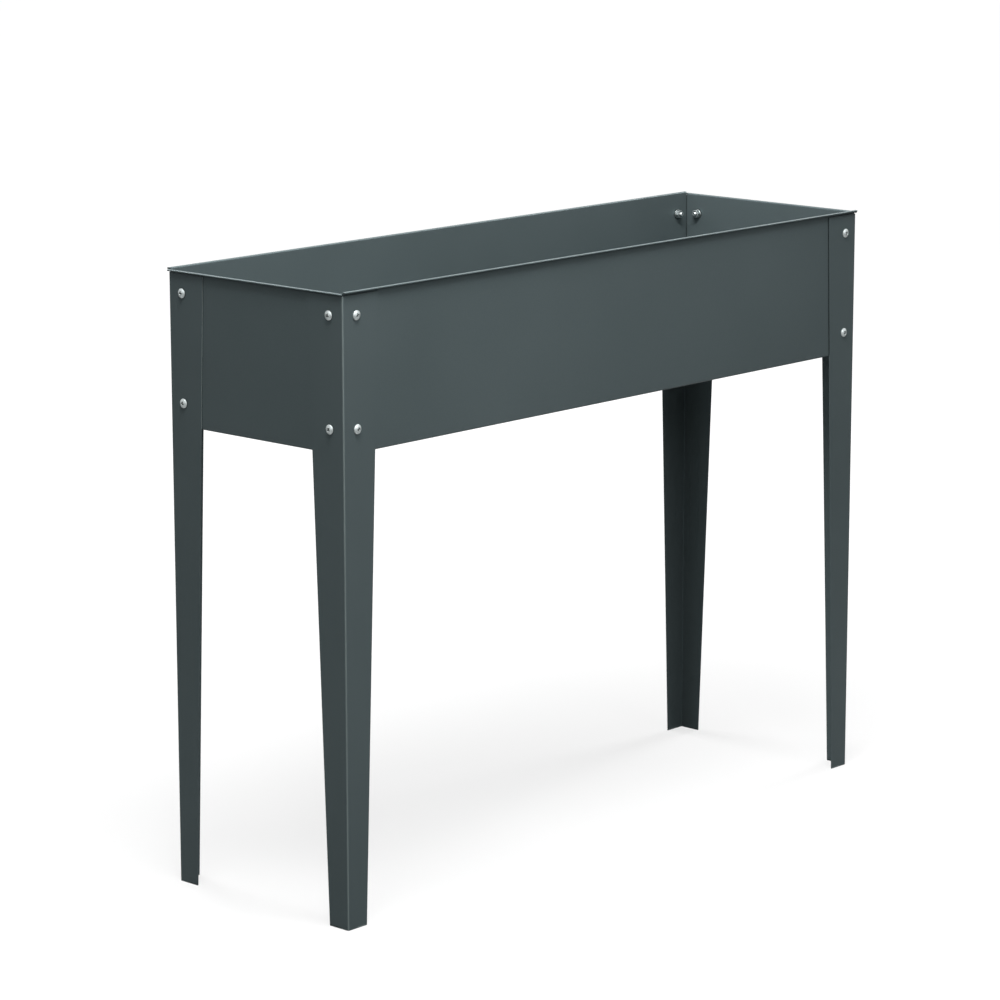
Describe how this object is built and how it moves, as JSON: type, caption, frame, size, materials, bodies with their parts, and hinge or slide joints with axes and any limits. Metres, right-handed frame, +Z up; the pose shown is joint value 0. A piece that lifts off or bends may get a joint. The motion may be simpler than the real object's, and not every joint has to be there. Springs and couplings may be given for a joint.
{
  "type": "raised garden bed",
  "caption": "Elevated trough planter of folded sheet steel: side panels with hemmed lips, bolted to tapered angle legs, with a lift-out drained base.",
  "frame": {"origin": "on the floor, below the middle of the bed", "axes": "+X along the bed to the right, +Y from the front to the rear, +Z up"},
  "size_m": [1.0006, 0.3066, 0.785],
  "materials": {
    "powder_coat": "satin",
    "zinc": "bright zinc plate"
  },
  "bodies": {
    "bed": {"front_panel": "powder_coat", "rear_panel": "powder_coat", "left_end_panel": "powder_coat", "right_end_panel": "powder_coat", "front_left_leg": "powder_coat", "front_right_leg": "powder_coat", "rear_left_leg": "powder_coat", "rear_right_leg": "powder_coat", "front_left_bolts": "zinc", "front_left_washers": "zinc", "front_left_nuts": "zinc", "front_right_bolts": "zinc", "front_right_washers": "zinc", "front_right_nuts": "zinc", "rear_left_bolts": "zinc", "rear_left_washers": "zinc", "rear_left_nuts": "zinc", "rear_right_bolts": "zinc", "rear_right_washers": "zinc", "rear_right_nuts": "zinc"},
    "base": {"base_panel": "powder_coat"}
  },
  "joints": [
    {"name": "base_lift", "type": "slide", "parent": "bed", "child": "base", "axis": [0, 0, 1], "range_m": [0, 0.25]}
  ]
}
